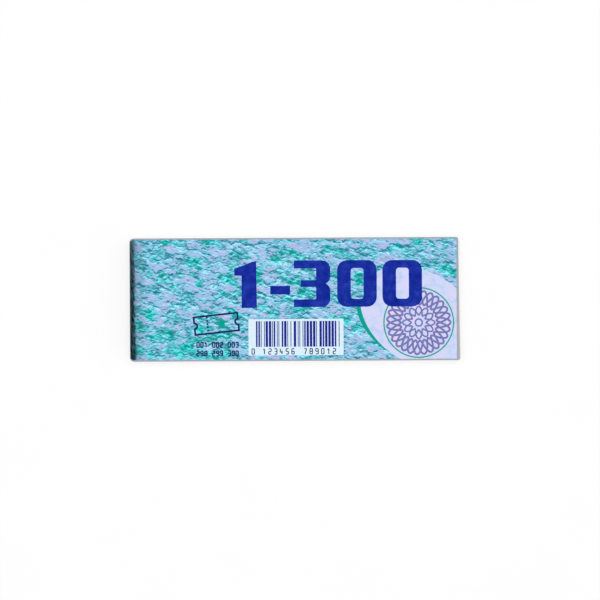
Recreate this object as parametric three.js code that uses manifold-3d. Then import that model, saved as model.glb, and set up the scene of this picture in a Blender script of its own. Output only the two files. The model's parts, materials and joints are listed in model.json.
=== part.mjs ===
// Numbered ticket book: a glued pad of perforated ticket leaves in a printed wrap-around cover.
//
// Millimetres, +Z up. The closed book lies on its back cover, with the origin under its middle,
// the spine towards -X and the fore-edge towards +X. Every leaf has a stub at the spine and a row of
// tear-off tickets. The pad opens in the middle, where the spine flexes along one line, and a few
// leaves next to that opening stand up in a fan.
import * as THREE from "three";
import { mergeVertices } from "three/addons/utils/BufferGeometryUtils.js";
import Module from "manifold-3d";

const wasm = await Module();
wasm.setup();

// Plan of a leaf
const stubWidth = 24.5; // what stays in the book
const ticketWidth = 33;
const ticketsPerLeaf = 3;
const bookWidth = 46; // head to tail

// Leaves
const leafThickness = 0.08;
const leafGap = 0.01; // air between two pressed leaves
const packLeaves = 4; // leaves that one pack holds
const upperPacks = 12;
const lowerPacks = 11;
const fanLeaves = 5;

// Perforations
const perforationPitch = 3;
const perforationCut = 2.2; // length of one slit, and the rest of the pitch is the tie
const perforationWidth = 0.25;
const perforationMargin = 0.4; // least paper between a whole slit and the leaf's edge

// Cover and binding
const coverThickness = 0.25;
const coverGap = 0.03; // between the first leaf and the front cover
const foldRadius = 1.6; // outside of the two folds along the spine
const coverSetback = 0.8; // the front cover ends this far inside the leaves' fore-edge
const spineCornerRadius = 1.6; // bruised ends of the spine, cover and leaves alike, seen from above
const foreCornerRadius = 0.6; // worn corners at the fore-edge, cover and leaves alike
const hingeGap = 0.04; // at the flex line and at the front crease
const glueThickness = 0.3;
const glueFit = 0.03; // between the adhesive and the cover that it holds
const seatGap = 0.05; // between the adhesive and the leaves' edges
const glueSoak = 0.3; // how far the adhesive creeps in between the leaves of a pack
const glueReach = 75; // degrees that the adhesive goes round each fold, from the spine
const fanClearance = 0.3; // the fan leaves turn here without touching the adhesive

// Fineness
const foldChords = 10; // in the round of a fold, seen from the side
const cornerChords = 4; // in a rounded corner, seen from above
const weldDistance = 1e-4; // points nearer than this are one point

// Worked out from the sizes above
const bookLength = stubWidth + ticketsPerLeaf * ticketWidth;
const spineX = -bookLength / 2;
const foreX = bookLength / 2;
const headY = bookWidth / 2;
const leafPitch = leafThickness + leafGap;
const upperLeaves = 2 + upperPacks * packLeaves; // the first leaf, the packs and the leaf at the opening
const lowerLeaves = 1 + lowerPacks * packLeaves; // the leaf under the fan and the packs
const leafCount = upperLeaves + fanLeaves + lowerLeaves;
const blockBottom = coverThickness + leafGap;
const blockTop = blockBottom + leafCount * leafPitch;
const flexZ = blockBottom + (lowerLeaves + fanLeaves) * leafPitch;
const bookThickness = blockTop + coverGap + coverThickness;
const creaseX = spineX + foldRadius;
const leafX = spineX + coverThickness + glueThickness + seatGap;
const blockCorner = foldRadius - blockBottom; // rounding of the pad's two spine edges, under the folds

const materials = {
  cover: new THREE.MeshStandardMaterial({ color: 0xa9c6ea, roughness: 0.45, metalness: 0 }),
  paper: new THREE.MeshStandardMaterial({ color: 0xf1efe8, roughness: 0.85, metalness: 0 }),
  adhesive: new THREE.MeshStandardMaterial({ color: 0xe9e4cf, roughness: 0.4, metalness: 0 }),
};

// Geometry to solid and back, for the cuts.
function toSolid(geometry) {
  const bare = geometry.clone();
  bare.deleteAttribute("normal");
  bare.deleteAttribute("uv");
  const merged = mergeVertices(bare, weldDistance);
  return new wasm.Manifold(
    new wasm.Mesh({
      numProp: 3,
      vertProperties: new Float32Array(merged.attributes.position.array),
      triVerts: new Uint32Array(merged.index.array),
    }),
  );
}

function toGeometry(solid) {
  const mesh = solid.getMesh();
  const geometry = new THREE.BufferGeometry();
  geometry.setAttribute("position", new THREE.BufferAttribute(mesh.vertProperties, 3));
  geometry.setIndex(new THREE.BufferAttribute(mesh.triVerts, 1));
  geometry.computeVertexNormals();
  return geometry;
}

// Extrudes a shape. An arc in it gets two chords for each of its segments.
function extrude(shape, depth, chords) {
  return new THREE.ExtrudeGeometry(shape, { depth, bevelEnabled: false, curveSegments: chords / 2 });
}

// A side view, drawn in X and Z, extruded from head to tail.
function extrudeAcross(profile) {
  return extrude(profile, bookWidth, foldChords).rotateX(Math.PI / 2).translate(0, headY, 0);
}

// A plan, drawn in X and Y, extruded upwards from z.
function extrudeUp(plan, z, height) {
  return extrude(plan, height, cornerChords).translate(0, 0, z);
}

// The space that the whole book keeps to: its plan, with the spine's ends and the fore corners rounded.
function bookEnvelope() {
  const margin = 1; // above and below the book
  const plan = new THREE.Shape();
  const roundCorner = (x, y, radius, quarter) =>
    plan.absarc(x, y, radius, (quarter * Math.PI) / 2, ((quarter + 1) * Math.PI) / 2, false);
  const spineArcX = spineX + spineCornerRadius;
  const foreArcX = foreX - foreCornerRadius;
  plan.moveTo(spineArcX, -headY);
  roundCorner(foreArcX, foreCornerRadius - headY, foreCornerRadius, 3);
  roundCorner(foreArcX, headY - foreCornerRadius, foreCornerRadius, 0);
  roundCorner(spineArcX, headY - spineCornerRadius, spineCornerRadius, 1);
  roundCorner(spineArcX, spineCornerRadius - headY, spineCornerRadius, 2);
  return toSolid(extrudeUp(plan, -margin, bookThickness + 2 * margin));
}

const envelope = bookEnvelope();

// Trims a piece to the book's plan, which a setback moves towards the spine.
function trim(geometry, setback = 0) {
  return toGeometry(toSolid(geometry).intersect(envelope.translate([-setback, 0, 0])));
}

// Height of the underside of a leaf. Leaf 1 lies on top.
function leafBottom(leaf) {
  return blockBottom + (leafCount - leaf) * leafPitch;
}

// Where a leaf starts at the spine: the pad's spine edges are rounded, at the bottom and at the top.
function leafStart(leaf) {
  const bottom = leafBottom(leaf);
  const depth = Math.min(bottom - blockBottom, blockTop - bottom - leafThickness);
  const rise = Math.max(0, 1 - depth / blockCorner);
  return leafX + blockCorner * (1 - Math.sqrt(1 - rise * rise));
}

function rectangle(left, right, low, high) {
  const shape = new THREE.Shape();
  shape.moveTo(left, low);
  shape.lineTo(right, low);
  shape.lineTo(right, high);
  shape.lineTo(left, high);
  shape.closePath();
  return shape;
}

// The blades that perforate the leaves: a row of short bars for each tear-off line, as tall as the pad.
// A bar that would leave less than the margin of paper at the leaf's edge runs out over it.
function perforationBlades() {
  const blades = [];
  const limit = headY - perforationMargin;
  for (let ticket = 1; ticket <= ticketsPerLeaf; ticket++) {
    const left = foreX - ticket * ticketWidth - perforationWidth / 2;
    const right = left + perforationWidth;
    for (let y = perforationPitch / 2; y - perforationCut / 2 < limit; y += perforationPitch) {
      const near = y - perforationCut / 2;
      const far = y + perforationCut / 2;
      const end = far < limit ? far : headY + perforationMargin;
      blades.push(rectangle(left, right, near, end), rectangle(left, right, -end, -near));
    }
  }
  return toSolid(extrudeUp(blades, 0, bookThickness));
}

const blades = perforationBlades();

function singleLeaf(leaf, clearance = 0) {
  const plan = rectangle(leafStart(leaf) + clearance, foreX, -headY, headY);
  const whole = toSolid(extrudeUp(plan, leafBottom(leaf), leafThickness));
  return toGeometry(whole.subtract(blades).intersect(envelope));
}

// Side view of a pack: separate leaves, held together only by the adhesive between their spine edges.
function packProfile(firstLeaf, count) {
  const points = [];
  const add = (x, z) => {
    const last = points.at(-1);
    if (!last || Math.hypot(last.x - x, last.y - z) > 1e-6) points.push(new THREE.Vector2(x, z));
  };
  const lastLeaf = firstLeaf + count - 1;
  const boundFrom = (leaf) => Math.max(leafStart(leaf), leafStart(leaf - 1));
  for (let leaf = lastLeaf; leaf >= firstLeaf; leaf--) {
    const low = leafBottom(leaf);
    const high = low + leafThickness;
    add(leaf === lastLeaf ? leafStart(leaf) : boundFrom(leaf + 1) + glueSoak, low);
    add(foreX, low);
    add(foreX, high);
    add(leaf === firstLeaf ? leafStart(leaf) : boundFrom(leaf) + glueSoak, high);
  }
  for (let leaf = firstLeaf; leaf < lastLeaf; leaf++) {
    const low = leafBottom(leaf);
    add(leafStart(leaf), low);
    add(boundFrom(leaf + 1), low);
    add(boundFrom(leaf + 1), leafBottom(leaf + 1) + leafThickness);
    add(leafStart(leaf + 1), leafBottom(leaf + 1) + leafThickness);
  }
  return new THREE.Shape(points);
}

// Side view of the cover's sheet round one fold: up the spine, round the fold and along a panel.
function foldedSheet(spineEndZ, panelEndX, lower) {
  const outer = foldRadius;
  const inner = foldRadius - coverThickness;
  const side = lower ? 1 : -1;
  const skinZ = lower ? 0 : bookThickness;
  const centreZ = skinZ + side * foldRadius;
  const quarter = (side * Math.PI) / 2;
  const profile = new THREE.Shape();
  profile.moveTo(spineX, spineEndZ);
  profile.lineTo(spineX, centreZ);
  profile.absarc(creaseX, centreZ, outer, Math.PI, Math.PI + quarter, !lower);
  if (panelEndX > creaseX) profile.lineTo(panelEndX, skinZ);
  profile.lineTo(panelEndX, skinZ + side * coverThickness);
  profile.absarc(creaseX, centreZ, inner, Math.PI + quarter, Math.PI, lower);
  profile.lineTo(spineX + coverThickness, spineEndZ);
  profile.closePath();
  return profile;
}

// Side view of the adhesive between the cover and the pad's rounded spine edge, from endZ to the fold.
function glueProfile(endZ, lower) {
  const side = lower ? 1 : -1;
  const skinZ = lower ? 0 : bookThickness;
  const centreZ = skinZ + side * foldRadius;
  const reach = side * THREE.MathUtils.degToRad(glueReach);
  const outerRadius = foldRadius - coverThickness - glueFit;
  const padX = leafX - seatGap;
  const profile = new THREE.Shape();
  profile.moveTo(creaseX - outerRadius, endZ);
  profile.lineTo(creaseX - outerRadius, centreZ);
  profile.absarc(creaseX, centreZ, outerRadius, Math.PI, Math.PI + reach, !lower);
  profile.absarc(padX + blockCorner, centreZ, blockCorner, Math.PI + reach, Math.PI, lower);
  profile.lineTo(padX, endZ);
  profile.closePath();
  return profile;
}

const book = new THREE.Group();
book.name = "numbered_ticket_book";

function addPiece(name, geometry, material) {
  const mesh = new THREE.Mesh(geometry, material);
  mesh.name = name;
  book.add(mesh);
}

const leafName = (leaf) => String(leaf).padStart(3, "0");

// The wrap-around cover is one sheet on the real book. It is three pieces here, at its two flexing lines.
function addCover() {
  const panel = rectangle(creaseX + hingeGap, foreX, bookThickness - coverThickness, bookThickness);
  addPiece("front_cover", trim(extrudeAcross(panel), coverSetback), materials.cover);
  const upperWrap = foldedSheet(flexZ + hingeGap, creaseX, false);
  addPiece("spine_wrap_upper", trim(extrudeAcross(upperWrap)), materials.cover);
  const lowerWrap = foldedSheet(flexZ, foreX, true);
  addPiece("back_cover", trim(extrudeAcross(lowerWrap)), materials.cover);
}

function addGlue() {
  const upper = glueProfile(flexZ + hingeGap, false);
  addPiece("spine_glue_upper", trim(extrudeAcross(upper)), materials.adhesive);
  const lower = glueProfile(flexZ, true);
  addPiece("spine_glue_lower", trim(extrudeAcross(lower)), materials.adhesive);
}

function addPacks(firstLeaf, count) {
  for (let i = 0; i < count; i++) {
    const first = firstLeaf + i * packLeaves;
    const name = `leaves_${leafName(first)}_to_${leafName(first + packLeaves - 1)}`;
    addPiece(name, trim(extrudeAcross(packProfile(first, packLeaves))), materials.paper);
  }
}

function addLeaves() {
  addPiece("leaf_001", singleLeaf(1), materials.paper);
  addPacks(2, upperPacks);
  addPiece(`leaf_${leafName(upperLeaves)}`, singleLeaf(upperLeaves), materials.paper);
  for (let i = 1; i <= fanLeaves; i++) {
    const leaf = upperLeaves + i;
    addPiece(`fan_leaf_${leafName(leaf)}`, singleLeaf(leaf, fanClearance), materials.paper);
  }
  const firstLower = upperLeaves + fanLeaves + 1;
  addPiece(`leaf_${leafName(firstLower)}`, singleLeaf(firstLower), materials.paper);
  addPacks(firstLower + 1, lowerPacks);
}

addCover();
addGlue();
addLeaves();

export default book;
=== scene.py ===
import json
import math
import random

import bpy
import numpy as np
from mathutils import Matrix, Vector
from mathutils.geometry import delaunay_2d_cdt


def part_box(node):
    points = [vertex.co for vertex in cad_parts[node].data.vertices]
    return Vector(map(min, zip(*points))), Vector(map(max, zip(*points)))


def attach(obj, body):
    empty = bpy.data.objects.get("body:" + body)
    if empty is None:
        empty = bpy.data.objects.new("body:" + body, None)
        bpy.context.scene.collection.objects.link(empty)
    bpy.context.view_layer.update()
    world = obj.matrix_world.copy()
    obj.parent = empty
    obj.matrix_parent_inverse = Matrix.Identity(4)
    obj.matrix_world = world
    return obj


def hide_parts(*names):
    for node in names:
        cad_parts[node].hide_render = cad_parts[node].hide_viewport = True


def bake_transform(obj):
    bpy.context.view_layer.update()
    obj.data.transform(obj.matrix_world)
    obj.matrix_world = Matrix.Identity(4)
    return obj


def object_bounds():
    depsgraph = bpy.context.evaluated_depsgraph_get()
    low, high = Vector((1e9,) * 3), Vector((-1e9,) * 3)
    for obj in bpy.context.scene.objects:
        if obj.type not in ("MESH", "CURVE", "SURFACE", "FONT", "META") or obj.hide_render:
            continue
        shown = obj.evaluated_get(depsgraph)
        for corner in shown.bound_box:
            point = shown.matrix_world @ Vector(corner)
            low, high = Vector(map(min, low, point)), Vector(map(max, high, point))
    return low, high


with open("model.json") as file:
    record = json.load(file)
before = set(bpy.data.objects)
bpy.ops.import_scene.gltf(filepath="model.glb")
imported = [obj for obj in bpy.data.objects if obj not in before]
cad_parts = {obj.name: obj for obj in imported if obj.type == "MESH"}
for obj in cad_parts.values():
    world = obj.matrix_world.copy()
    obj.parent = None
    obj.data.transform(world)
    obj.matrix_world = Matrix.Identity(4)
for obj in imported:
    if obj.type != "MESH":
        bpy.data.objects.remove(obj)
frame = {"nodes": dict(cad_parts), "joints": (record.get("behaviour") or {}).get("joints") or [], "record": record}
cad_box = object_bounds()

MM = 0.001


def joint_place(name):
    joint = next(j for j in frame["joints"] if j["name"] == name)
    return [value / MM for value in joint["pos_m"]]


def box_mm(node):
    low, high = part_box(node)
    return low / MM, high / MM


def height_of(node):
    low, high = box_mm(node)
    return high.z - low.z


# Sizes that the frame gives
low_mm, high_mm = cad_box[0] / MM, cad_box[1] / MM
spine_x, fore_x = low_mm.x, high_mm.x
head_y, top_z = high_mm.y, high_mm.z
crease_x = joint_place("cover_open")[0]
flex_z = joint_place("block_open")[2]
card = height_of("front_cover")
leaf = height_of("leaf_001")
fold = crease_x - spine_x

# Places along the flat cover, from 0 at the crease up to the fore-edge and down to the back panel's end
arc = fold * math.pi / 2
straight = top_z - 2 * fold
front_end = box_mm("front_cover")[1].x - crease_x
spine_top = -arc
spine_low = -arc - straight
fold_end = -2 * arc - straight
back_end = fold_end - (fore_x - crease_x)

# How far each sheet bends
BEND = 0.4  # half of the cover's length that bends at the front crease
FLEX = 0.3  # and at the middle of the spine
LEAF_BEND = 6.5  # next to the adhesive, in the leaves that stand up

# How far apart the places are at which the sheets are divided
BEND_STEP, FLEX_STEP, FOLD_STEP, SPINE_STEP = 0.1, 0.075, 0.2, 0.6
BESIDE_STEP, COVER_STEP, BACK_STEP = 0.8, 2.0, 3.0
LEAF_BEND_STEP, LEAF_STEP, LEAF_ROW_STEP = 0.4, 3.0, 2.3
PACK_START_STEP, PACK_STEP = 0.3, 8.0
BESIDE_FOLD = 2.0  # the width of the front's strip beside its fold
MARGIN = 1.0  # between a sheet's edge and the places nearest to it

# Plan of a leaf, as the tickets are printed and perforated
TICKETS = 3
TICKET = 33.0
CUT_PITCH = 3.0  # of the perforations
CUT_LENGTH = 2.2
CUT_WIDTH = 0.25
CUT_START = 0.5  # the middle of the first cut, from the tail edge
OVERRUN = 0.1  # by which the outer cuts pass the edges
FRAME_INSET = 2.6
FRAME_WIDTH = 0.35
NUMBER_HEIGHT = 9.0
NUMBER_LOW = 3.5
RULES = (-4.5, -10.5, -16.5)
RULE_INSET = 5.2
RULE_WIDTH = 0.25
STUB_LEFT = 7.5  # from the spine
STUB_LOW = 12.0  # the low side of the first of its numbers
STUB_PITCH = 14.0
STUB_HEIGHT = 4.0
STUB_RULE = 13.5
STUB_RULE_DROP = 3.2

# The leaves in the block
PACK = 4
GLUE_FILM = 0.34  # between the card and the leaves' spine edges
LEAF_TRIM = 0.003  # the share by which leaves are narrower than the cover
FORE_WANDER = 0.12
SIDE_WANDER = 0.06

# Small departures from the square that the trimmed book has
HEAD_SHORT = 0.65  # the fore-edge is out of square by this much, at the head
SPINE_ROUND = 1.6
ROUND_REACH = 5.0
CORNER_WORN = 0.6  # radius of the worn corners at the fore-edge
CORNER_LIFT = 0.25
LIFT_LENGTH = 14.0
LIFT_WIDTH = 12.0
DIP_ALONG = 0.07
DIP_ACROSS = 0.05

# Numerals on the front cover, in the book's X and Y
NUMERAL_TOP = 14.5
NUMERAL_LOW = -2.9
ZERO_LEFTS = (15.8, 32.7)
ZERO_WIDTH = 14.8
ZERO_ROUND = 3.6
COUNTER_LEFT, COUNTER_RIGHT = 5.1, 9.85  # sides of a zero's opening, from the zero's left
COUNTER_LOW, COUNTER_TOP = 2.95, 2.9  # its distances from the zero's low and top
COUNTER_ROUND = 1.1
RANGE_DASH = (-9.2, 1.85, -1.75, 5.05)  # left, low, right and top

# The patch with bars, under the numerals
PATCH = (-17.4, -20.9, 18.1, -7.35)  # left, low, right and top
BAR_LEFT, BAR_RIGHT = -14.6, 17.2
BAR_LOW, BAR_TOP = -17.7, -8.1
BAR_MODULE = 0.3
COUNTING_GROUPS = (("0", -16.3), ("123456", -12.2), ("789012", 3.2))  # each with its left side
COUNTING_FIGURES = {"low": -20.6, "height": 2.35, "weight": 0.15, "spacing": 2.16}

# The pale clear area and its rosette, at the right
CLEAR_CENTRE = (46.5, -7.0)
CLEAR_LENGTH, CLEAR_WIDTH = 24.5, 17.0  # halves
CLEAR_TURN = -30  # degrees
CRESCENTS = ((165, 262, 1.5), (28, 74, 0.9))  # from one angle to another, and how thick
CRESCENT_TIP = 0.15
ROSETTE_CENTRE = (46.2, -8.9)
BRAIDS = ((3, 9, 9.3, 2.6, 0.75), (2, 6, 4.4, 1.6, 0.6))  # strands, waves, radius, reach and width
RINGS = ((13.0, 0.5, "teal_ink"), (1.3, 0.6, "violet_ink"))  # radius, width and ink

# The small ticket drawn at the left, with a wave and rows of figures under it
TOKEN_CENTRE = (-29.4, -9.0)
TOKEN_TURN = 6  # degrees
TOKEN_LENGTH, TOKEN_WIDTH = 8.2, 3.3  # halves
TOKEN_NOTCH = 1.1
TOKEN_LINE = 0.7
DASHES = 5
DASH_LEFT, DASH_RIGHT = -3.6, -3.0
DASH_LOW = 0.8  # the first one's, from the ticket's low side
DASH_PITCH, DASH_LENGTH = 1.2, 0.7
STAR_POINTS = 5
STAR_LONG, STAR_SHORT = 2.5, 1.1  # radii
STAR_RIGHT = 2.0  # from the ticket's centre
WAVE_CENTRE = (-29.2, -14.2)
WAVE_LENGTH, WAVE_HEIGHT = 8.4, 0.5  # halves
WAVE_LINE = 0.65
WAVE_RATE = 1.2  # radians to a millimetre
ROWS_LEFT = -36.9
NUMBER_ROWS = (("001 002 003", -18.0), ("298 299 300", -21.2))  # each with its low side
ROW_FIGURES = {"height": 2.25, "weight": 0.2, "spacing": 1.62}


def colour(red, green, blue):
    """Screen values from 0 to 255 as the linear colour that a shader takes."""
    def linear(value):
        value /= 255
        return value / 12.92 if value <= 0.04045 else ((value + 0.055) / 1.055) ** 2.4
    return (linear(red), linear(green), linear(blue), 1.0)


def smooth(value, start, end):
    """0 before start, 1 after end, and a smooth rise between them."""
    t = np.clip((value - start) / (end - start), 0, 1)
    return t * t * (3 - 2 * t)


# Flat outlines

def rounded(corners, radius, count):
    """A closed outline whose corners are curved. radius is one number, or one for each corner."""
    radii = radius if isinstance(radius, (list, tuple)) else [radius] * len(corners)
    bulge = 1 - math.sqrt(0.5)
    points = []
    for i, corner in enumerate(corners):
        at = Vector(corner)
        if not radii[i]:
            points.append(tuple(at))
            continue
        before = Vector(corners[i - 1]) - at
        after = Vector(corners[(i + 1) % len(corners)]) - at
        first = at + before.normalized() * radii[i]
        last = at + after.normalized() * radii[i]
        middle = at + (first + last - 2 * at) * bulge
        control = 2 * middle - (first + last) / 2
        for step in range(count + 1):
            t = step / count
            points.append(tuple((1 - t) ** 2 * first + 2 * t * (1 - t) * control + t * t * last))
    return points


def rectangle(left, low, right, high):
    return [(left, low), (right, low), (right, high), (left, high)]


def bent(corners, radius, count):
    """An open line whose inner corners are curved."""
    return rounded(corners, [0] + [radius] * (len(corners) - 2) + [0], count)


def turned(points, centre, degrees=0):
    cos, sin = math.cos(math.radians(degrees)), math.sin(math.radians(degrees))
    return [(centre[0] + x * cos - y * sin, centre[1] + x * sin + y * cos) for x, y in points]


def ellipse(half_length, half_width, count, start=0.0, end=2 * math.pi):
    """Points along an ellipse. A whole turn leaves out the last one, which is the first again."""
    angles = np.linspace(start, end, count + 1)
    if end - start >= 2 * math.pi:
        angles = angles[:-1]
    return [(half_length * math.cos(a), half_width * math.sin(a)) for a in angles]


def stroke(points, width, closed=False):
    """Four-sided pieces along a line, mitred where it turns. width is one number, or one for each point."""
    line = [Vector(p) for p in points]
    count = len(line)
    widths = width if isinstance(width, list) else [width] * count
    sides = []
    for i, at in enumerate(line):
        ways = []
        if closed or i:
            ways.append((at - line[i - 1]).normalized())
        if closed or i < count - 1:
            ways.append((line[(i + 1) % count] - at).normalized())
        way = sum(ways, Vector((0, 0))).normalized()
        mitre = max(0.5, way.dot(ways[0]))
        across = Vector((-way.y, way.x)) * widths[i] / 2 / mitre
        sides.append((at - across, at + across))
    starts = range(count if closed else count - 1)
    pairs = [(sides[i], sides[(i + 1) % count]) for i in starts]
    return [[tuple(a[0]), tuple(b[0]), tuple(b[1]), tuple(a[1])] for a, b in pairs]


def inked(outlines, ink):
    return [(outline, ink) for outline in outlines]


# Plain square figures: the lines of each one, and whether they are closed, on a field 1 wide and 2 high
DIGITS = {
    "0": [([(0, 0), (1, 0), (1, 2), (0, 2)], True)],
    "1": [([(0.1, 1.55), (0.6, 2), (0.6, 0)], False)],
    "2": [([(0, 2), (1, 2), (1, 1), (0, 1), (0, 0), (1, 0)], False)],
    "3": [([(0, 2), (1, 2), (1, 0), (0, 0)], False), ([(0.25, 1), (1, 1)], False)],
    "4": [([(0, 2), (0, 0.7), (1, 0.7)], False), ([(0.7, 1.3), (0.7, 0)], False)],
    "5": [([(1, 2), (0, 2), (0, 1), (1, 1), (1, 0), (0, 0)], False)],
    "6": [([(1, 2), (0, 2), (0, 0), (1, 0), (1, 1), (0, 1)], False)],
    "7": [([(0, 2), (1, 2), (0.35, 0)], False)],
    "8": [([(0, 0), (1, 0), (1, 2), (0, 2)], True), ([(0, 1), (1, 1)], False)],
    "9": [([(0, 0), (1, 0), (1, 2), (0, 2), (0, 1), (1, 1)], False)],
}
FIGURE_ROUND = 0.3
FIGURE_WIDTH = 0.92
FIGURE_SPACING = 1.42
FIGURE_WEIGHT = 0.17  # width of a stroke, as a share of the figures' height


def number(text, left, low, height, weight=FIGURE_WEIGHT, spacing=FIGURE_SPACING):
    """Strokes of a row of figures. A space is as wide as a figure."""
    width = weight * height
    unit = (height - width) / 2
    pieces = []
    for place, figure in enumerate(text):
        for corners, closed in DIGITS.get(figure, []):
            line = (rounded if closed else bent)(corners, FIGURE_ROUND, 3)
            x = left + width / 2 + place * unit * spacing
            spots = [(x + px * unit * FIGURE_WIDTH, low + width / 2 + py * unit) for px, py in line]
            pieces += stroke(spots, width, closed)
    return pieces


def number_width(text, height):
    width = FIGURE_WEIGHT * height
    unit = (height - width) / 2
    return (len(text) - 1) * unit * FIGURE_SPACING + unit + width


# What is printed on the front cover: lists of (outline, ink), in the order they are laid down

def one_outline():
    top, low = NUMERAL_TOP, NUMERAL_LOW - 0.25
    left, stem = -22.6, -19.9
    return [(-14.2, low), (-14.4, top - 0.25), (-16.0, top - 0.45), (-19.0, top - 1.7),
            (left, top - 2.9), (left, top - 5.5), (stem, top - 5.6), (stem, low)]


def three_outline():
    top, low = NUMERAL_TOP, NUMERAL_LOW
    left, right, inner, middle = -0.35, 13.25, 7.95, 5.85
    notch, half_notch = 1.75, 0.9
    top_bar, low_bar, half_arm, arm_inset = 2.95, 2.85, 1.25, 2.6
    corners = [
        (left, low), (right, low), (right, middle - half_notch), (right - notch, middle),
        (right, middle + half_notch), (right, top), (left, top), (left, top - top_bar),
        (inner, top - top_bar), (inner, middle + half_arm), (left + arm_inset, middle + half_arm),
        (left + arm_inset, middle - half_arm), (inner, middle - half_arm),
        (inner, low + low_bar), (left, low + low_bar)]
    return rounded(corners, [0, 3.0, 1.6, 0.2, 1.6, 3.0, 0, 0, 0.5, 0.5, 0, 0, 0.5, 0.5, 0], 5)


def zero_outline(left):
    return rounded(rectangle(left, NUMERAL_LOW, left + ZERO_WIDTH, NUMERAL_TOP), ZERO_ROUND, 6)


def zero_counter(left):
    opening = rectangle(left + COUNTER_LEFT, NUMERAL_LOW + COUNTER_LOW,
                        left + COUNTER_RIGHT, NUMERAL_TOP - COUNTER_TOP)
    return rounded(opening, COUNTER_ROUND, 4)


def print_range():
    """The range of numbers in heavy figures. Foil shows in the first zero, and pale ink in the second."""
    zeros = [zero_outline(left) for left in ZERO_LEFTS]
    first, second = [zero_counter(left) for left in ZERO_LEFTS]
    printed = inked([one_outline(), rectangle(*RANGE_DASH), three_outline()] + zeros, "figure_ink")
    return printed + [(first, None), (second, "pale_ink")]


def print_bars():
    """A white patch with upright bars of made-up widths and a row of counting figures."""
    draw = random.Random(7)
    printed = [(rectangle(*PATCH), "patch_white")]
    x = BAR_LEFT
    while x < BAR_RIGHT - 4 * BAR_MODULE:
        bar = BAR_MODULE * draw.choice((1, 1, 2, 2, 3, 4))
        gap = BAR_MODULE * draw.choice((1, 1, 1, 2, 3))
        printed.append((rectangle(x, BAR_LOW, x + bar, BAR_TOP), "bar_ink"))
        x += bar + gap
    printed.append((rectangle(x, BAR_LOW, x + BAR_MODULE, BAR_TOP), "bar_ink"))
    for group, left in COUNTING_GROUPS:
        printed += inked(number(group, left, **COUNTING_FIGURES), "small_ink")
    return printed


def crescent(start, end, thickness):
    """A band along the clear area's rim, between two angles, thickest half way."""
    count = 28
    line = ellipse(CLEAR_LENGTH, CLEAR_WIDTH, count, math.radians(start), math.radians(end))
    widths = [CRESCENT_TIP + thickness * math.sin(math.pi * i / count) for i in range(count + 1)]
    return stroke(turned(line, CLEAR_CENTRE, CLEAR_TURN), widths)


def braid_strand(waves, radius, reach, phase):
    """A closed line that waves about a circle."""
    line = []
    for angle in np.linspace(0, 2 * math.pi, 16 * waves + 1)[:-1]:
        out = radius + reach * math.cos(waves * angle + phase)
        line.append((out * math.cos(angle), out * math.sin(angle)))
    return line


def print_rosette():
    """A pale clear area with an interlaced rosette, of the kind that tickets and vouchers carry."""
    clear = ellipse(CLEAR_LENGTH, CLEAR_WIDTH, 48)
    printed = [(turned(clear, CLEAR_CENTRE, CLEAR_TURN), "pale_ink")]
    for start, end, thickness in CRESCENTS:
        printed += inked(crescent(start, end, thickness), "teal_ink")
    for strands, waves, radius, reach, width in BRAIDS:
        for strand in range(strands):
            line = braid_strand(waves, radius, reach, 2 * math.pi * strand / strands)
            printed += inked(stroke(turned(line, ROSETTE_CENTRE), width, True), "violet_ink")
    for radius, width, ink in RINGS:
        ring = turned(ellipse(radius, radius, 56), ROSETTE_CENTRE)
        printed += inked(stroke(ring, width, True), ink)
    return printed


def token_outline():
    """A ticket with a round notch in each end."""
    length, width, notch = TOKEN_LENGTH, TOKEN_WIDTH, TOKEN_NOTCH
    angles = np.linspace(-math.pi / 2, math.pi / 2, 7)
    right = [(length - notch * math.cos(a), notch * math.sin(a)) for a in angles]
    left = [(-length + notch * math.cos(a), -notch * math.sin(a)) for a in angles]
    return [(-length, -width), (length, -width)] + right + [(length, width), (-length, width)] + left


def star():
    line = []
    for i in range(2 * STAR_POINTS):
        reach = STAR_SHORT if i % 2 else STAR_LONG
        angle = math.pi / 2 + i * math.pi / STAR_POINTS
        line.append((reach * math.cos(angle) + STAR_RIGHT, reach * math.sin(angle)))
    return line


def print_token():
    """A small ticket drawn in outline over a wave, and two rows of plain figures."""
    outline = turned(token_outline(), TOKEN_CENTRE, TOKEN_TURN)
    printed = inked(stroke(outline, TOKEN_LINE, True), "small_ink")
    for i in range(DASHES):
        y = -TOKEN_WIDTH + DASH_LOW + i * DASH_PITCH
        dash = rectangle(DASH_LEFT, y, DASH_RIGHT, y + DASH_LENGTH)
        printed.append((turned(dash, TOKEN_CENTRE, TOKEN_TURN), "small_ink"))
    printed.append((turned(star(), TOKEN_CENTRE, TOKEN_TURN), "teal_ink"))
    places = np.linspace(-WAVE_LENGTH, WAVE_LENGTH, 43)
    wave = [(x, WAVE_HEIGHT * math.sin(x * WAVE_RATE)) for x in places]
    printed += inked(stroke(turned(wave, WAVE_CENTRE, TOKEN_TURN), WAVE_LINE), "teal_ink")
    for text, low in NUMBER_ROWS:
        printed += inked(number(text, ROWS_LEFT, low, **ROW_FIGURES), "small_ink")
    return printed


# Sheets: a flat plan, cut into triangles by what is printed on it, then laid where the book has it

SHARP = 35  # degrees between two faces, from which their edge is sharp
INSIDE = 1  # the triangulation keeps what is inside the outlines
TOLERANCE = 1e-5


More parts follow.
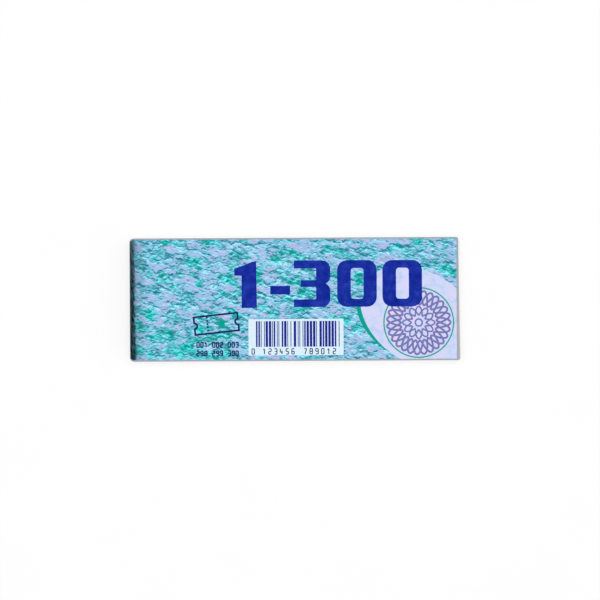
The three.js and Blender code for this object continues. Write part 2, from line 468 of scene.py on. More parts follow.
def lay_out(outline, columns, rows, printed=(), slits=()):
    """(points, triangles, inks) of a flat sheet. What is printed later lies over what came before."""
    points, loops, inks = [], [], []
    for loop, ink in [(outline, None)] + list(printed) + inked(slits, "slit"):
        area = sum(a[0] * b[1] - b[0] * a[1] for a, b in zip(loop, loop[1:] + loop[:1]))
        turn = loop if area > 0 else loop[::-1]
        loops.append(list(range(len(points), len(points) + len(turn))))
        points += [Vector(p) for p in turn]
        inks.append(ink)
    points += [Vector((s, y)) for s in columns for y in rows]
    places, _, found, _, _, sources = delaunay_2d_cdt(points, [], loops, INSIDE, TOLERANCE)
    triangles, owners = [], []
    for triangle, covering in zip(found, sources):
        ink = inks[max(covering)] if covering else None
        if ink != "slit":
            triangles.append(triangle)
            owners.append(ink)
    used = sorted({i for triangle in triangles for i in triangle})
    renumbered = {old: new for new, old in enumerate(used)}
    flat = np.array([places[i] for i in used], float)
    return flat, [[renumbered[i] for i in triangle] for triangle in triangles], owners


def trimmed(left, right, worn=(0, CORNER_WORN, CORNER_WORN, 0)):
    """The outline of a sheet as wide as the book. The corners at its fore-edge are worn."""
    return rounded(rectangle(left, -head_y, right, head_y), worn, 3)


def sheet_mesh(plan, lift, thickness, face, under, edge):
    """Vertices, faces, flat places and materials of a sheet. lift gives a flat point's place at a depth."""
    flat, triangles, inks = plan
    count = len(flat)
    vertices = np.vstack([lift(flat[:, 0], flat[:, 1], depth) for depth in (0.0, thickness)])
    faces = [tuple(t) for t in triangles] + [tuple(i + count for i in reversed(t)) for t in triangles]
    names = [face if ink is None else ink for ink in inks] + [under] * len(triangles)
    sides = dict.fromkeys(side for t in triangles for side in zip(t, t[1:] + t[:1]))
    for a, b in sides:
        if (b, a) not in sides:
            faces.append((a, a + count, b + count, b))
            names.append(edge)
    return vertices, faces, np.vstack([flat, flat]), names


def build(name, sheets, materials):
    """One object from several sheets, with its flat places kept as the map that the patterns follow."""
    vertices, faces, flats, names = [], [], [], []
    for sheet_vertices, sheet_faces, sheet_flats, sheet_names in sheets:
        start = len(vertices)
        vertices.extend(sheet_vertices)
        faces.extend(tuple(i + start for i in face) for face in sheet_faces)
        flats.extend(sheet_flats)
        names.extend(sheet_names)
    mesh = bpy.data.meshes.new(name)
    mesh.from_pydata([tuple(v * MM) for v in vertices], [], faces)
    used = sorted(set(names))
    for used_name in used:
        mesh.materials.append(materials[used_name])
    mesh.polygons.foreach_set("material_index", [used.index(n) for n in names])
    flat_map = mesh.uv_layers.new(name="flat")
    corners = np.zeros(len(mesh.loops), np.int32)
    mesh.loops.foreach_get("vertex_index", corners)
    flat_map.data.foreach_set("uv", np.array(flats, np.float32)[corners].ravel())
    mesh.shade_smooth()
    mesh.set_sharp_from_angle(angle=math.radians(SHARP))
    mesh.validate()
    piece = bpy.data.objects.new(name, mesh)
    bpy.context.scene.collection.objects.link(piece)
    return piece


def settled(x, y, z):
    """The pressed block isn't quite even: its height dips a little here and there. The base stays flat."""
    along = (x - spine_x) / (fore_x - spine_x)
    across = y / head_y
    dip = DIP_ALONG * (1 - np.cos(2 * math.pi * (1.25 * along + 0.1)))
    dip += DIP_ACROSS * (1 - np.cos(2 * math.pi * (0.55 * across + 0.6 * along)))
    return z * (1 - dip / top_z)


def round_ends(x, y):
    """The two ends of the spine are bruised round, seen from above."""
    inside = np.clip((x - spine_x) / SPINE_ROUND, 0, 1)
    cut = SPINE_ROUND * (1 - np.sqrt(1 - (1 - inside) ** 2))
    far = np.clip(np.abs(y) - (head_y - ROUND_REACH), 0, None) / ROUND_REACH
    return y - np.sign(y) * cut * far


def steps(start, *stretches):
    """Places from start on. A stretch is its end, and about how far apart its even places are."""
    places = []
    for end, size in stretches:
        count = max(1, round(abs(end - start) / size))
        places += list(np.linspace(start, end, count + 1))
        start = end
    return places


# The wrap-around cover

def wrap(s, y, depth):
    """Where a flat point of the cover lies. s is 0 at the front crease and grows towards the fore-edge."""
    s = np.asarray(s, float)
    upper = np.clip(-s, 0, arc) / fold
    down = np.clip(spine_top - s, 0, straight)
    lower = np.clip(spine_low - s, 0, arc) / fold
    back = np.maximum(fold_end - s, 0)
    x = crease_x + np.maximum(s, 0) - fold * np.sin(upper) + fold * (1 - np.cos(lower)) + back
    z = top_z - fold * (1 - np.cos(upper)) - down - fold * np.sin(lower)
    x += depth * np.sin(upper + lower)
    z -= depth * np.cos(upper + lower)
    y = round_ends(x, y)
    corner = smooth(x, fore_x - LIFT_LENGTH, fore_x) * smooth(-y, head_y - LIFT_WIDTH, head_y)
    corner = corner * smooth(z, top_z - 1, top_z)
    return np.stack([x, y, settled(x, y, z) + CORNER_LIFT * corner], axis=1)


def cover_rows():
    """Places across the cover, closer together near its ends, where the spine is rounded."""
    even, outer = 18, [19.5, 21.0, 22.0, 22.6]
    inner = steps(-even, (even, COVER_STEP))
    return [-head_y] + [-y for y in reversed(outer)] + inner + outer + [head_y]


def cut_off(loop, axis, limit, side):
    """The part of an outline whose coordinate is below the limit (side 1) or above it (side -1)."""
    kept = []
    for before, after in zip(loop[-1:] + loop[:-1], loop):
        inside_before, inside = side * (limit - before[axis]) >= 0, side * (limit - after[axis]) >= 0
        if inside != inside_before:
            share = (limit - before[axis]) / (after[axis] - before[axis])
            kept.append(tuple(a + share * (b - a) for a, b in zip(before, after)))
        if inside:
            kept.append(after)
    return kept


def on_front(printed):
    """What is printed, moved to the flat cover and cut off at its fore-edge and its two long edges."""
    kept = []
    for loop, ink in printed:
        loop = [(x - crease_x, y) for x, y in loop]
        for axis, edge, side in ((0, front_end, 1), (1, head_y, 1), (1, -head_y, -1)):
            loop = cut_off(loop, axis, edge, side)
        if len(loop) > 2:
            kept.append((loop, ink))
    return kept


def cover_sheet(plan):
    return sheet_mesh(plan, wrap, card, "cover_print", "card_back", "card_edge")


def build_front(materials):
    """The front panel and the upper fold, divided finely at the crease, where the cover bends."""
    printed = on_front(print_rosette() + print_range() + print_bars() + print_token())
    columns = steps(spine_top, (-BEND, FOLD_STEP), (BEND, BEND_STEP),
                    (BESIDE_FOLD, BESIDE_STEP), (front_end, COVER_STEP))
    plan = lay_out(trimmed(spine_top, front_end), columns, cover_rows(), printed)
    piece = build("cover_front", [cover_sheet(plan)], materials)
    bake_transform(piece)
    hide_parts("front_cover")


def build_back(materials):
    """The spine, the lower fold and the back panel, divided finely along the middle of the spine, where they bend.
    """
    middle = spine_top - (top_z - fold - flex_z)
    outline = trimmed(back_end, spine_top, (CORNER_WORN, 0, 0, CORNER_WORN))
    columns = steps(back_end + MARGIN, (fold_end, BACK_STEP), (spine_low, FOLD_STEP),
                    (middle - FLEX, SPINE_STEP), (middle + FLEX, FLEX_STEP), (spine_top, SPINE_STEP))
    piece = build("cover_back", [cover_sheet(lay_out(outline, columns, cover_rows()))], materials)
    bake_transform(piece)
    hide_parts("back_cover", "spine_wrap_upper")


# Leaves

def perforation_slits():
    """The cuts of the three tear-off lines. Those at the edges run out over them."""
    slits = []
    for ticket in range(1, TICKETS + 1):
        x = fore_x - ticket * TICKET
        y = -head_y + CUT_START
        while y < head_y:
            low = max(y - CUT_LENGTH / 2, -head_y - OVERRUN)
            high = min(y + CUT_LENGTH / 2, head_y + OVERRUN)
            slits.append(rectangle(x - CUT_WIDTH / 2, low, x + CUT_WIDTH / 2, high))
            y += CUT_PITCH
    return slits


def leaf_start(z):
    """Where a leaf at that height starts: the block's spine edges are rounded under the folds."""
    beyond = max(fold - z, z - (top_z - fold), 0)
    inner = fold - card
    return crease_x + GLUE_FILM - math.sqrt(max(inner ** 2 - beyond ** 2, 0.0))


def rule(left, low, right):
    return rectangle(left, low, right, low + RULE_WIDTH), "rule_ink"


def ticket_print(first_number):
    """Frames, ruled lines and the running numbers of one leaf."""
    printed = []
    for place in range(TICKETS):
        left = fore_x - (TICKETS - place) * TICKET
        right = left + TICKET
        text = f"{first_number + place:03d}"
        border = rectangle(left + FRAME_INSET, -head_y + FRAME_INSET,
                           right - FRAME_INSET, head_y - FRAME_INSET)
        printed += inked(stroke(border, FRAME_WIDTH, True), "rule_ink")
        start = left + TICKET / 2 - number_width(text, NUMBER_HEIGHT) / 2
        printed += inked(number(text, start, NUMBER_LOW, NUMBER_HEIGHT), "number_ink")
        printed += [rule(left + RULE_INSET, y, right - RULE_INSET) for y in RULES]
        stub_left = spine_x + STUB_LEFT
        stub_low = STUB_LOW - STUB_PITCH * place
        printed += inked(number(text, stub_left, stub_low, STUB_HEIGHT), "number_ink")
        printed.append(rule(stub_left, stub_low - STUB_RULE_DROP, stub_left + STUB_RULE))
    return printed


def leaf_lift(bottom, draw):
    """Lays a flat leaf at its height, a little off square, as leaves in a pad are."""
    fore, side = draw.uniform(-FORE_WANDER, 0), draw.uniform(-SIDE_WANDER, SIDE_WANDER)

    def lift(x, y, depth):
        share = (x - spine_x) / (fore_x - spine_x)
        skew = HEAD_SHORT * (y + head_y) / (2 * head_y)
        moved = x + share ** 3 * (fore - skew)
        z = np.full(len(x), bottom + leaf - depth)
        inside = round_ends(x, y)
        return np.stack([moved, inside * (1 - LEAF_TRIM) + side, settled(x, inside, z)], axis=1)
    return lift


def leaf_sheet(plan, bottom, draw):
    return sheet_mesh(plan, leaf_lift(bottom, draw), leaf, "leaf_paper", "leaf_paper", "leaf_edge")


def build_pack(node, body, slits, materials, draw):
    """Four leaves that lie together, cut only where their perforations reach the edges."""
    low, high = box_mm(node)
    pitch = (high.z - low.z - leaf) / (PACK - 1)
    even = 20
    rows = [-head_y, head_y] + steps(-even, (even, PACK_STEP))
    edge_slits = [slit for slit in slits if max(abs(y) for _, y in slit) > head_y]
    sheets = []
    for i in range(PACK):
        bottom = low.z + i * pitch
        start = leaf_start(bottom + leaf / 2)
        columns = steps(start, (spine_x + SPINE_ROUND, PACK_START_STEP), (fore_x - MARGIN, PACK_STEP))
        plan = lay_out(trimmed(start, fore_x), columns, rows, slits=edge_slits)
        sheets.append(leaf_sheet(plan, bottom, draw))
    piece = build("sheets_" + node.split("_", 1)[1], sheets, materials)
    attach(piece, body)
    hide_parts(node)


def build_leaf(node, body, first_number, slits, materials, draw):
    """A single leaf, printed and perforated, divided finely next to the spine, where one that stands in the fan
    bends.
    """
    low, high = box_mm(node)
    start = leaf_start((low.z + high.z) / 2)
    bend_end = start + LEAF_BEND
    columns = steps(start, (bend_end, LEAF_BEND_STEP), (fore_x - MARGIN, LEAF_STEP))
    rows = steps(MARGIN - head_y, (head_y - MARGIN, LEAF_ROW_STEP))
    plan = lay_out(trimmed(start, fore_x), columns, rows, ticket_print(first_number), slits)
    piece = build("sheet_" + node.rsplit("_", 1)[1], [leaf_sheet(plan, low.z, draw)], materials)
    if body.startswith("fan_leaf"):
        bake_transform(piece)
    else:
        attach(piece, body)
    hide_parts(node)


def build_leaves(materials):
    slits = perforation_slits()
    draw = random.Random(11)
    for body, nodes in frame["record"]["behaviour"]["bodies"].items():
        for node in nodes:
            if node.startswith("leaves_"):
                build_pack(node, body, slits, materials, draw)
            elif "leaf_" in node:
                leaf_number = int(node.rsplit("_", 1)[1])
                build_leaf(node, body, TICKETS * (leaf_number - 1) + 1, slits, materials, draw)


# Materials

class Paint:
    """A material and the nodes that make its colour, gloss and relief."""

    def __init__(self, name, roughness, specular):
        self.material = bpy.data.materials.new(name)
        self.material.use_nodes = True
        self.tree = self.material.node_tree
        self.shader = self.tree.nodes["Principled BSDF"]
        self.shader.inputs["Roughness"].default_value = roughness
        self.shader.inputs["Specular IOR Level"].default_value = specular

    def add(self, kind, inputs=None, **settings):
        """A node. Its inputs are linked to sockets, or hold values."""
        node = self.tree.nodes.new("ShaderNode" + kind)
        for key, value in settings.items():
            setattr(node, key, value)
        for key, value in (inputs or {}).items():
            if isinstance(value, bpy.types.NodeSocket):
                self.tree.links.new(value, node.inputs[key])
            else:
                node.inputs[key].default_value = value
        return node

    def math(self, operation, a, b=0.0, c=0.0, clamp=False):
        return self.add("Math", {0: a, 1: b, 2: c}, operation=operation, use_clamp=clamp).outputs[0]

    def plus(self, a, b):
        return self.math("ADD", a, b)

    def minus(self, a, b):
        return self.math("SUBTRACT", a, b)

    def times(self, a, b, clamp=False):
        return self.math("MULTIPLY", a, b, clamp=clamp)

    def most(self, a, b):
        return self.math("MAXIMUM", a, b)

    def least(self, a, b):
        return self.math("MINIMUM", a, b)

    def scaled(self, value, factor, added, clamp=False):
        """The value times the factor, with something added to that."""
        return self.math("MULTIPLY_ADD", value, factor, added, clamp)

    def flat(self):
        """The sheet's own flat coordinates, in millimetres."""
        return self.add("UVMap", uv_map="flat").outputs[0]

    def flat_axes(self):
        """The flat coordinates apart: along the sheet, and across it."""
        axes = self.add("SeparateXYZ", {0: self.flat()}).outputs
        return axes[0], axes[1]

    def place(self):
        """The piece's coordinates in space, in metres."""
        return self.add("TexCoord").outputs["Object"]

    def stretched(self, vector, length, width, degrees=0.0, start=(0, 0, 0)):
        """Coordinates in which a pattern's features are so long and so wide, and lie at that angle."""
        inputs = {"Vector": vector, "Scale": (length, width, width), "Location": start}
        inputs["Rotation"] = (0, 0, math.radians(degrees))
        return self.add("Mapping", inputs, vector_type="TEXTURE").outputs[0]

    def noise(self, vector, scale=1.0, detail=2.0, roughness=0.5):
        inputs = {"Vector": vector, "Scale": scale, "Detail": detail, "Roughness": roughness}
        return self.add("TexNoise", inputs).outputs[0]

    def ramp(self, value, stops):
        node = self.add("ValToRGB", {"Fac": value})
        elements = node.color_ramp.elements
        while len(elements) < len(stops):
            elements.new(0.5)
        for element, (position, shade) in zip(elements, stops):
            element.position = position
            element.color = shade
        return node.outputs[0]

    def mix(self, amount, a, b):
        return self.add("Mix", {0: amount, 6: a, 7: b}, data_type="RGBA").outputs[2]

    def between(self, value, start, end):
        """0 at start and 1 at end, clamped, with a smooth rise between them."""
        inputs = {0: value, 1: start, 2: end, 3: 0.0, 4: 1.0}
        return self.add("MapRange", inputs, interpolation_type="SMOOTHSTEP").outputs[0]

    def colour_from(self, socket):
        self.tree.links.new(socket, self.shader.inputs["Base Color"])

    def roughness_from(self, socket):
        self.tree.links.new(socket, self.shader.inputs["Roughness"])

    def bump(self, pattern, strength, depth):
        node = self.add("Bump", {"Height": pattern, "Strength": strength, "Distance": depth * MM})
        self.tree.links.new(node.outputs[0], self.shader.inputs["Normal"])


# The foil pattern of the cover. Its zones say where flakes are many (above 0) or few (below 0).

FOIL_SHADES = [
    (0.00, colour(30, 122, 138)), (0.12, colour(56, 144, 162)), (0.30, colour(90, 168, 190)),
    (0.50, colour(112, 184, 208)), (0.63, colour(126, 201, 231)), (0.76, colour(138, 225, 243)),
    (0.96, colour(166, 243, 251))]
FOIL_GREENS = [
    (0.05, colour(0, 140, 134)), (0.28, colour(0, 170, 158)), (0.52, colour(28, 203, 202)),
    (0.82, colour(94, 233, 237))]
FOIL_LILACS = [
    (0.45, colour(146, 196, 236)), (0.62, colour(170, 192, 233)), (0.82, colour(190, 180, 230))]
FOIL_GLINT = colour(190, 214, 243)

# Layers of the pattern: the length, width and angle of what is in them, and where they start
ZONES = (8.0, 4.2, -10, (1, 3, 0))
BIG_FLAKES = (7.0, 3.2, -9, (0, 0, 0))
LESS_FLAKES = (3.8, 2.0, 8, (9, 4, 0))
BROAD_STREAKS = (3.0, 1.0, -14, (3, 7, 0))
FINE_STREAKS = (1.7, 0.6, 12, (11, 2, 0))
CREASES = (5.0, 2.2, -16, (2, 5, 0))
CROSS_CREASES = (4.0, 2.4, 28, (8, 1, 0))
GREEN_SPOTS = (3.6, 2.2, 10, (4, 6, 0))
BLUSH = (4.4, 2.6)

# Streaks, with where their light comes from and the shares of their own tones and of that light
STREAKS = ((BROAD_STREAKS, (0.3, 0.95, 0), 0.46, 0.44), (FINE_STREAKS, (-0.1, 0.98, 0), 0.38, 0.36))

# Where the shade at low left begins and is full, across the book and along it
LOW_SHADE, LEFT_SHADE = (6, -20), (60, 10)


def facets(paint, points, layer, light):
    """Facets of crumpled foil: a random value for each, how far up the light a point is, and how far in."""
    cells = paint.stretched(points, *layer)
    node = paint.add("TexVoronoi", {"Vector": cells, "Scale": 1.0},
                     voronoi_dimensions="2D", distance="MANHATTAN")
    kind = paint.add("SeparateColor", {0: node.outputs["Color"]}).outputs[0]
    within = paint.add("VectorMath", {0: cells, 1: node.outputs["Position"]}, operation="SUBTRACT")
    lit = paint.add("VectorMath", {0: within.outputs[0], 1: light}, operation="DOT_PRODUCT")
    return kind, lit.outputs["Value"], node.outputs["Distance"]


def warped(paint, flat, scale, reach, detail=1.0):
    """The flat coordinates, pushed to and fro by up to half the reach."""
    inputs = {"Vector": flat, "Scale": scale, "Detail": detail}
    warp = paint.add("TexNoise", inputs).outputs[1]
    push = paint.add("VectorMath", {0: warp, 1: (0.5, 0.5, 0.5)}, operation="SUBTRACT").outputs[0]
    inputs = {0: push, 1: (reach, reach, 0.0), 2: flat}
    return paint.add("VectorMath", inputs, operation="MULTIPLY_ADD").outputs[0]


def flakes(paint, points, layer, share, drift):
    """Smooth flakes, a share of the facets: how far inside one a point is, and the light on its rim."""
    kind, lit, far = facets(paint, points, layer, (0.2, 0.92, 0))
    soft = 0.04
    chosen = paint.between(paint.plus(kind, drift), 1 - share - soft, 1 - share + soft)
    inside = paint.times(chosen, paint.between(far, 0.72, 0.40))
    rim = paint.times(paint.between(far, 0.30, 0.56), paint.between(far, 0.90, 0.62))
    return inside, paint.times(paint.times(rim, chosen), lit)


def creases(paint, points, layer, step):
    """The light on a field of sharp creases: above 0 on their upper sides and below 0 under them."""
    heights = []
    for offset in ((0, 0, 0), step):
        shifted = paint.add("VectorMath", {0: points, 1: offset}, operation="ADD").outputs[0]
        field = paint.noise(paint.stretched(shifted, *layer))
        ridge = paint.math("ABSOLUTE", paint.minus(field, 0.5))
        heights.append(paint.math("POWER", ridge, 0.6))
    return paint.minus(heights[1], heights[0])


def foil_streaks(paint, points):
    """Slanting streaks: larger and smaller facets, each with a tone of its own and lit from above."""
    streaks = -0.20
    for layer, light, own_share, lit_share in STREAKS:
        own, lit, _ = facets(paint, points, layer, light)
        streaks = paint.scaled(lit, lit_share, paint.scaled(own, own_share, streaks))
    return streaks


def foil_tone(paint, points, calm, rim):
    """How light the foil is, from 0 to 1: streaks, which are fainter on calm flakes, creases and rims."""
    folds = creases(paint, points, CREASES, (0.06, 0.32, 0))
    folds = paint.scaled(creases(paint, points, CROSS_CREASES, (0.0, 0.30, 0)), 0.8, folds)
    busy = paint.scaled(calm, -0.65, 1.0)
    tone = paint.scaled(foil_streaks(paint, points), busy, 0.16)
    tone = paint.scaled(folds, 1.5, tone)
    tone = paint.scaled(rim, 0.65, tone)
    return paint.scaled(calm, 0.20, tone, clamp=True)


def foil_green(paint, flat, zone, low_left, calm, tone):
    """How much green shows, and its colour: ragged spots between flakes, and the shade at low left."""
    ragged = warped(paint, flat, 0.9, 1.3, 3.0)
    kind, _, far = facets(paint, ragged, GREEN_SPOTS, (0, 1, 0))
    drift = paint.minus(paint.scaled(low_left, 0.15, -0.09), zone)
    spots = paint.between(paint.plus(kind, drift), 0.82, 0.88)
    spots = paint.times(spots, paint.between(far, 0.95, 0.65))
    spots = paint.most(spots, paint.times(paint.between(zone, -0.05, -0.5), 0.45))
    deep = paint.times(low_left, paint.between(tone, 0.50, 0.20))
    spots = paint.most(spots, paint.times(deep, 0.60))
    amount = paint.times(paint.scaled(calm, -0.85, 1.0), spots)
    light = paint.scaled(tone, 1.15, 0.2)
    light = paint.scaled(paint.between(far, 0.80, 0.35), -0.50, light)
    light = paint.scaled(low_left, 0.14, light)
    return amount, paint.ramp(light, FOIL_GREENS)


def foil_lilac(paint, loose, zone, calm, tone):
    """How much lilac shows, and its colour: mostly on calm flakes, but neither in shade nor on glints."""
    blush = paint.noise(paint.stretched(loose, *BLUSH), roughness=0.45)
    blush = paint.plus(paint.scaled(calm, 0.26, -0.14), blush)
    glints = paint.times(paint.between(tone, 0.55, 0.80), 0.8)
    lilac = paint.mix(glints, paint.ramp(blush, FOIL_LILACS), FOIL_GLINT)
    amount = paint.most(paint.scaled(calm, 0.80, 0.04), paint.times(paint.between(zone, 0.0, 0.4), 0.6))
    amount = paint.times(amount, paint.between(tone, 0.0, 0.30))
    amount = paint.times(amount, paint.between(tone, 1.0, 0.64))
    return amount, lilac


def crinkle(paint, flat, s, y):
    """Crumpled foil seen from above: smooth lilac flakes between slanting streaks of cyan and teal."""
    near = warped(paint, flat, 0.8, 0.9)
    loose = warped(paint, flat, 0.35, 2.6)
    low_left = paint.times(paint.between(y, *LOW_SHADE), paint.between(s, *LEFT_SHADE))
    zone = paint.scaled(paint.noise(paint.stretched(flat, *ZONES)), 2.6, -1.3)
    zone = paint.scaled(low_left, -0.10, zone)
    big, big_rim = flakes(paint, loose, BIG_FLAKES, 0.44, zone)
    less, less_rim = flakes(paint, loose, LESS_FLAKES, 0.36, zone)
    calm = paint.most(big, less)
    tone = foil_tone(paint, near, calm, paint.plus(big_rim, less_rim))
    green, greens = foil_green(paint, flat, zone, low_left, calm, tone)
    lilac, lilacs = foil_lilac(paint, loose, zone, calm, tone)
    shades = paint.mix(green, paint.ramp(tone, FOIL_SHADES), greens)
    return paint.mix(lilac, shades, lilacs)


# The cover's spine and edges

# The spine is painted dark as shade, with specks of the print in it: its tones, from the darkest
SPINE_PAINTED_SHADE = [
    (0.36, colour(0, 10, 16)), (0.50, colour(22, 44, 50)), (0.62, colour(32, 76, 80)),
    (0.74, colour(80, 104, 114))]
FLAT_EDGE = 0.8
# What lies over those: its colour, its strength, and where along a field it begins and is full
SPINE_LOOKS = {
    "tail": (colour(0, 24, 28), 0.6, ("y", -8, -20)),
    # a painted lighter rim on the outer part of the upper fold, where light would catch it
    "painted_lit_rim": (colour(118, 130, 132), 1.0, ("s", -1.1, -1.7), ("s", -2.9, -2.2), ("specks", 0.30, 0.75)),
    "flat": (colour(12, 26, 34), 0.75,
             ("s", spine_top, spine_top - FLAT_EDGE), ("s", spine_low, spine_low + FLAT_EDGE)),
    # the painted shade is lighter towards the head
    "lighter_at_head": (colour(88, 108, 132), 0.65, ("y", 6, head_y), ("s", -1.9, -0.7), ("specks", 0.30, 0.62)),
    "flecked": (colour(66, 104, 122), 0.6, ("s", -1.5, -0.2), ("flecks", 0.46, 0.62)),
}
FOLD_SHADOW = colour(64, 88, 108)
# grey along the trimmed edges: partly worn board, partly painted edge shade
EDGE_WEAR_AND_SHADE = colour(160, 166, 174)
CARD_GRAIN = (0.12, 0.04)  # strength and depth

# Distances from the folds at which the spine's painted dark shade and the panels' painted shadow begin and are
# full
DARK_END = (0.85, -0.15)
FOLD_SHADING = ((2.2, 0.4, 0.16), (5.6, 2.4, 0.29))  # each with its strength
TAIL_START, TAIL_SPREAD = -4, 0.45  # towards the tail they reach further


def painted_spine_shade(paint, flat, s, y):
    """The spine, painted dark as shade with specks of print: darker at the tail and on its flat; on its upper fold
    a painted lit rim, lighter towards the head, and flecks.
    """
    specks = paint.noise(paint.stretched(flat, 0.9, 3.2), 1.0, 3.0, 0.6)
    flecks = paint.noise(paint.stretched(flat, 0.8, 1.8, 0, (5, 3, 0)))
    fields = {"s": s, "y": y, "specks": specks, "flecks": flecks}
    dark = paint.ramp(specks, SPINE_PAINTED_SHADE)
    for shade, amount, *ranges in SPINE_LOOKS.values():
        for field, begin, full in ranges:
            amount = paint.times(paint.between(fields[field], begin, full), amount)
        dark = paint.mix(amount, dark, shade)
    return dark


def printed_card(paint, shade, s, y):
    """The finished material. Along the trimmed edges it is grey: partly board where the print has worn off, partly
    painted edge shade.
    """
    to_fore = paint.least(paint.minus(front_end, s), paint.minus(s, back_end))
    to_side = paint.minus(head_y, paint.math("ABSOLUTE", y))
    uneven_edge = paint.noise(paint.flat(), 1.6, 3.0, 0.7)
    gap = paint.minus(paint.least(to_fore, to_side), paint.scaled(uneven_edge, 0.7, -0.2))
    paint.colour_from(paint.mix(paint.between(gap, 0.62, 0.2), shade, EDGE_WEAR_AND_SHADE))
    paint.bump(paint.noise(paint.flat(), 6.0, 3.0), *CARD_GRAIN)
    return paint.material


def cover_print():
    """The foil pattern with a painted shadow beside the spine, and the spine painted dark as shade, which ends
    raggedly at the folds.
    """
    paint = Paint("cover_print", 0.42, 0.02)
    flat = paint.flat()
    s, y = paint.flat_axes()
    towards_tail = paint.scaled(paint.between(y, TAIL_START, -head_y), -TAIL_SPREAD, s)
    on_panels = paint.most(towards_tail, paint.minus(fold_end, s))
    wobble = paint.scaled(paint.noise(paint.stretched(flat, 1.2, 2.0), 1.0, 4.0, 0.65), 2.4, -1.2)
    near_fold = paint.plus(on_panels, wobble)
    shadow = 0.0
    for begin, full, strength in FOLD_SHADING:
        shadow = paint.scaled(paint.between(near_fold, begin, full), strength, shadow)
    shade = paint.mix(shadow, crinkle(paint, flat, s, y), FOLD_SHADOW)
    # where the spine is painted dark as shade
    on_spine = paint.between(near_fold, *DARK_END)
    shade = paint.mix(on_spine, shade, painted_spine_shade(paint, flat, s, y))
    paint.roughness_from(paint.scaled(paint.noise(flat, 1.6, 3.0, 0.7), 0.18, 0.34))
    return printed_card(paint, shade, s, y)


# Inks on the cover: the scale of their mottle, and the colours that it runs through
FINE_MOTTLE, BROAD_MOTTLE = 1.4, 0.3
COVER_INKS = {
    "figure_ink": (BROAD_MOTTLE, colour(4, 28, 138), colour(18, 42, 152), colour(34, 56, 170)),
    "patch_white": (FINE_MOTTLE, colour(210, 232, 246), colour(222, 238, 250)),
    "bar_ink": (FINE_MOTTLE, colour(26, 30, 132), colour(34, 38, 146)),
    "small_ink": (FINE_MOTTLE, colour(22, 26, 82), colour(34, 40, 104)),
    "pale_ink": (BROAD_MOTTLE, colour(180, 200, 238), colour(204, 213, 245), colour(222, 209, 242)),
    "violet_ink": (FINE_MOTTLE, colour(112, 108, 168), colour(132, 126, 184)),
    "teal_ink": (FINE_MOTTLE, colour(0, 148, 132), colour(0, 168, 148)),
}


def cover_ink(name, scale, *shades):
    """Printed ink: even from afar, with the faint mottle of ink on coated card."""
    paint = Paint(name, 0.45, 0.02)
    places = np.linspace(0.32, 0.68, len(shades))
    shade = paint.ramp(paint.noise(paint.flat(), scale, 4.0, 0.6), list(zip(places, shades)))
    return printed_card(paint, shade, *paint.flat_axes())


# Papers: their shade, a darker one, and how strongly painted shade greys them at the fore-edge
PAPERS = {
    "card_back": (colour(238, 237, 233), colour(222, 221, 216), 0.0),
    "card_edge": (colour(176, 174, 178), colour(140, 138, 144), 0.0),
    "leaf_paper": (colour(250, 250, 248), colour(240, 240, 238), 0.6),
    "leaf_edge": (colour(240, 240, 237), colour(214, 213, 211), 0.0),
}
# painted shade along the leaves' fore-edge, beside the cover's edge
PAINTED_SHADE_GREY = colour(120, 124, 132)


def paper(name, shade, darker, fore_edge_shade):
    """Uncoated paper: faintly cloudy, with short fibres lying all ways."""
    paint = Paint(name, 0.85, 0.1)
    place = paint.place()
    clouds = paint.noise(place, 900.0, 3.0, 0.6)
    along = paint.noise(paint.stretched(place, 0.0012, 0.0003, 20), 1.0, 2.0, 0.6)
    across = paint.noise(paint.stretched(place, 0.0011, 0.0003, -55, (0.4, 0.2, 0.1)), 1.0, 2.0, 0.6)
    fibres = paint.scaled(along, 0.5, paint.times(across, 0.5))
    mottle = paint.scaled(fibres, 0.6, paint.times(clouds, 0.4))
    colours = paint.ramp(mottle, [(0.36, darker), (0.58, shade)])
    # painted shade greys the leaves along the fore-edge
    if fore_edge_shade:
        x, _ = paint.flat_axes()
        uneven_edge = paint.scaled(clouds, 1.2, paint.minus(x, fore_x + 0.6))
        colours = paint.mix(paint.times(paint.between(uneven_edge, -1.1, -0.7), fore_edge_shade), colours, PAINTED_SHADE_GREY)
    paint.colour_from(colours)
    paint.bump(fibres, 0.3, 0.03)
    return paint.material


# Inks on the leaves, each from its darker shade to its lighter one
PAGE_INKS = {
    "rule_ink": (colour(78, 92, 158), colour(96, 112, 176)),
    "number_ink": (colour(30, 30, 42), colour(48, 48, 62)),
}


def page_ink(name, darker, shade):
    """Ink sunk into uncoated paper, which it doesn't cover quite evenly."""
    paint = Paint(name, 0.75, 0.1)
    mottle = paint.noise(paint.place(), 2200.0, 3.0, 0.6)
    paint.colour_from(paint.ramp(mottle, [(0.35, darker), (0.65, shade)]))
    return paint.material


def make_materials():
    made = {"cover_print": cover_print()}
    for make, finishes in ((cover_ink, COVER_INKS), (paper, PAPERS), (page_ink, PAGE_INKS)):
        for name, values in finishes.items():
            made[name] = make(name, *values)
    return made


def dress_glue():
    """The dried adhesive keeps the frame's solids, with a cloudy, slightly yellow finish."""
    paint = Paint("spine_adhesive", 0.38, 0.4)
    clouds = paint.noise(paint.place(), 420.0, 4.0, 0.6)
    paint.colour_from(paint.ramp(clouds, [(0.35, colour(214, 206, 178)), (0.65, colour(238, 234, 214))]))
    paint.bump(clouds, 0.5, 0.1)
    for node in ("spine_glue_upper", "spine_glue_lower"):
        mesh = frame["nodes"][node].data
        mesh.materials.clear()
        mesh.materials.append(paint.material)


# Stage, lights and camera

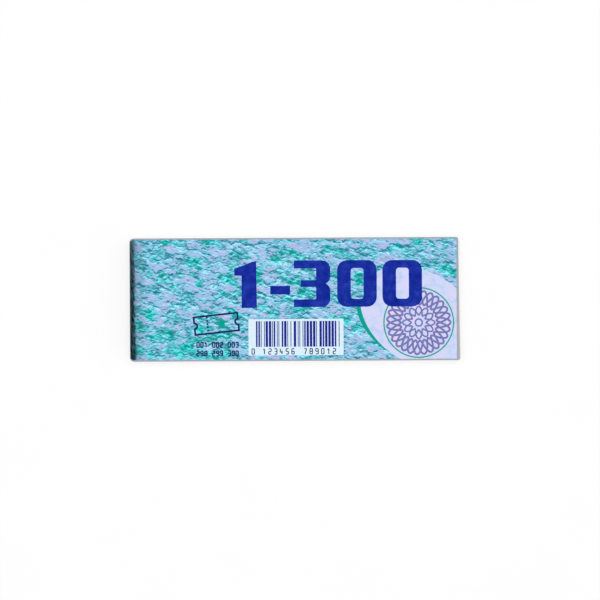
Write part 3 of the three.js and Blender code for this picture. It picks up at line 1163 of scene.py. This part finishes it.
FLOOR_DROP = 0.3  # room for the front cover when it is folded right round under the book
FLOOR_REACH = 2000.0
FLOOR_GLOW = 0.7  # the share of even white in the floor that the camera sees
WORLD_STRENGTH = 0.58
KEY_SIZE = 500.0
KEY_POWER = 4.4
KEY_PLACE = (0.0, 40.0, 950.0)

# The photograph: its width, and the book's width and centre in it, in pixels
PHOTO_WIDTH = 600
BOOK_WIDTH_IN_PHOTO = 330.8
BOOK_CENTRE_IN_PHOTO = (294.9, 299.3)
PHOTO_TURN = 0.3  # degrees
CAMERA_DISTANCE = 900.0
SENSOR = 36


def stage():
    """A pale floor. The camera sees it nearly white, with a faint shadow of the book."""
    mesh = bpy.data.meshes.new("floor")
    reach, z = FLOOR_REACH * MM, -FLOOR_DROP * MM
    mesh.from_pydata([(x, y, z) for x, y in rectangle(-reach, -reach, reach, reach)], [], [(0, 1, 2, 3)])
    floor = bpy.data.objects.new("floor", mesh)
    bpy.context.scene.collection.objects.link(floor)
    paint = Paint("floor", 0.9, 0.0)
    grain = paint.noise(paint.place(), 30.0, 3.0)
    paint.colour_from(paint.ramp(grain, [(0.3, colour(250, 250, 250)), (0.7, colour(253, 253, 253))]))
    rays = paint.add("LightPath").outputs
    seen = paint.plus(rays["Is Camera Ray"], rays["Is Glossy Ray"])
    glow = paint.add("Emission", {"Color": (1, 1, 1, 1), "Strength": 1.0})
    share = paint.times(seen, FLOOR_GLOW, clamp=True)
    both = paint.add("MixShader", {0: share, 1: paint.shader.outputs[0], 2: glow.outputs[0]})
    paint.tree.links.new(both.outputs[0], paint.tree.nodes["Material Output"].inputs["Surface"])
    mesh.materials.append(paint.material)


def lights():
    """Soft light from all round, and a round lamp above the book."""
    world = bpy.data.worlds.new("studio")
    bpy.context.scene.world = world
    world.use_nodes = True
    background = world.node_tree.nodes["Background"]
    background.inputs["Color"].default_value = (1, 1, 1, 1)
    background.inputs["Strength"].default_value = WORLD_STRENGTH
    data = bpy.data.lights.new("key", "AREA")
    data.shape = "DISK"
    data.size = KEY_SIZE * MM
    data.energy = KEY_POWER
    lamp = bpy.data.objects.new("key", data)
    lamp.location = [value * MM for value in KEY_PLACE]
    bpy.context.scene.collection.objects.link(lamp)


def camera():
    """Straight above, with the book as large and as far off the middle as in the photograph."""
    per_pixel = (fore_x - spine_x) / BOOK_WIDTH_IN_PHOTO
    data = bpy.data.cameras.new("camera")
    data.sensor_width = SENSOR
    data.lens = SENSOR * CAMERA_DISTANCE / (PHOTO_WIDTH * per_pixel)
    eye = bpy.data.objects.new("camera", data)
    x = (PHOTO_WIDTH / 2 - BOOK_CENTRE_IN_PHOTO[0]) * per_pixel
    y = (BOOK_CENTRE_IN_PHOTO[1] - PHOTO_WIDTH / 2) * per_pixel
    eye.location = (x * MM, y * MM, (top_z + CAMERA_DISTANCE) * MM)
    eye.rotation_euler = (0, 0, math.radians(-PHOTO_TURN))
    bpy.context.scene.collection.objects.link(eye)
    bpy.context.scene.camera = eye


camera()
stage()
lights()
materials = make_materials()
build_front(materials)
build_back(materials)
build_leaves(materials)
dress_glue()
bpy.context.scene.view_settings.view_transform = "Standard"

bpy.context.view_layer.update()
